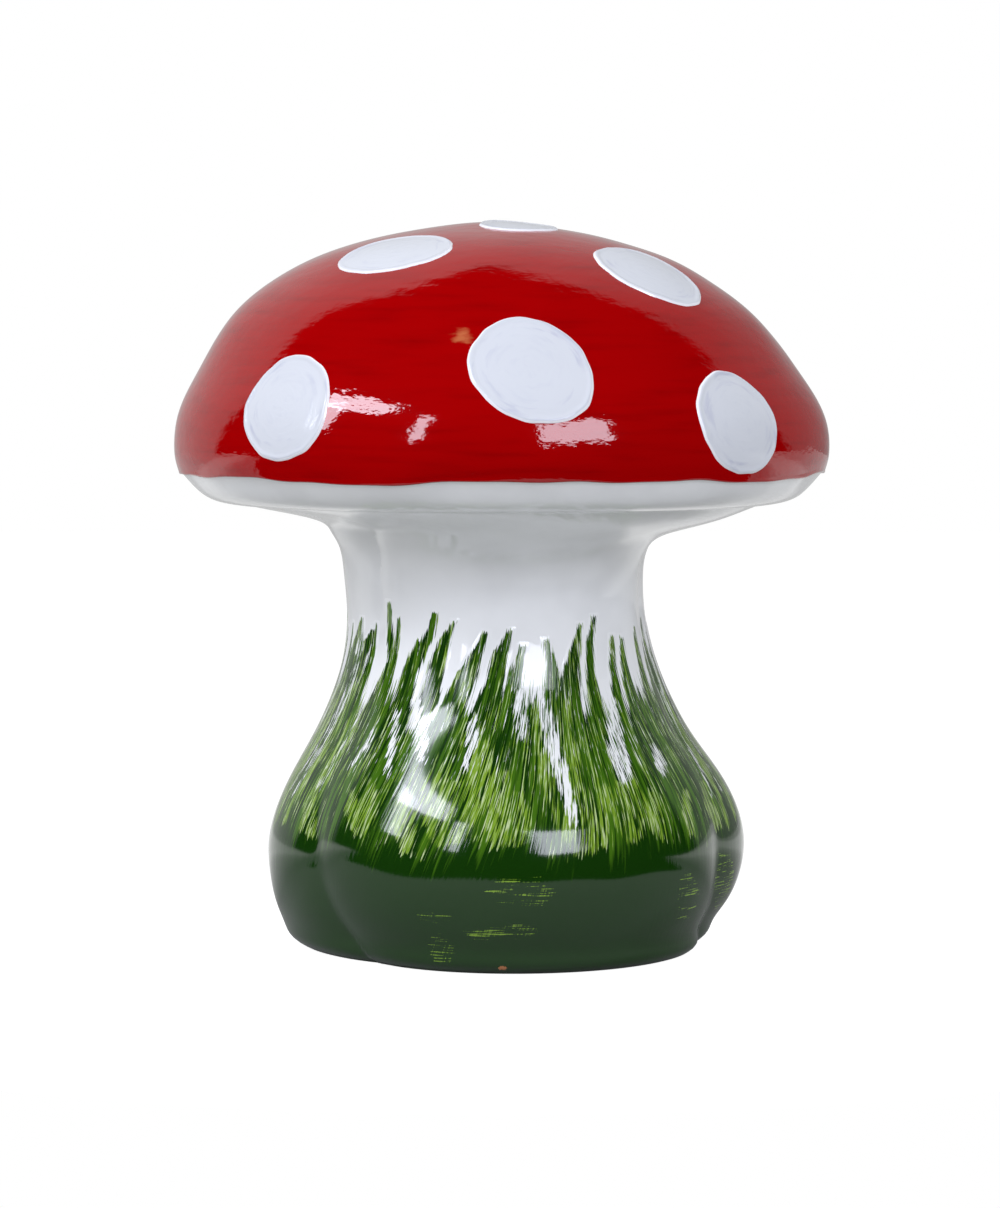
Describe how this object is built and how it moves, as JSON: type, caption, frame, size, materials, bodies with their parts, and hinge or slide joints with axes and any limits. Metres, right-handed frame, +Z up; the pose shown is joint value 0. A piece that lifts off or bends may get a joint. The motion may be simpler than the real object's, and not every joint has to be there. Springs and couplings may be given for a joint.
{
  "type": "ceramic mushroom ornament",
  "caption": "Glazed ceramic toadstool ornament with a spotted red cap on a white lobed stem painted with grass, free-standing on an open foot.",
  "frame": {"origin": "on the ground, under the middle of the foot and of the cap", "axes": "+Z up through the crown of the cap, -Y towards the front that the picture shows, +X to its right"},
  "size_m": [0.222, 0.222, 0.2456],
  "materials": {
    "red_enamel": "gloss",
    "white_glaze": "gloss",
    "bare_clay": "matte",
    "green_enamel": "gloss",
    "spot_enamel": "gloss"
  },
  "bodies": {
    "root": {"cap_dome": "red_enamel", "cap_underside": "white_glaze", "stem_body": "white_glaze", "rim_slip_bead": "bare_clay", "collar_slip_bead": "white_glaze", "grass_coat": "green_enamel", "spot_front_middle": "spot_enamel", "spot_front_left": "spot_enamel", "spot_front_right": "spot_enamel", "spot_right": "spot_enamel", "spot_back_right": "spot_enamel", "spot_back_left": "spot_enamel", "spot_left": "spot_enamel", "spot_upper_left": "spot_enamel", "spot_upper_right": "spot_enamel", "spot_upper_back_right": "spot_enamel", "spot_upper_back_left": "spot_enamel", "spot_crown": "spot_enamel"}
  },
  "joints": []
}
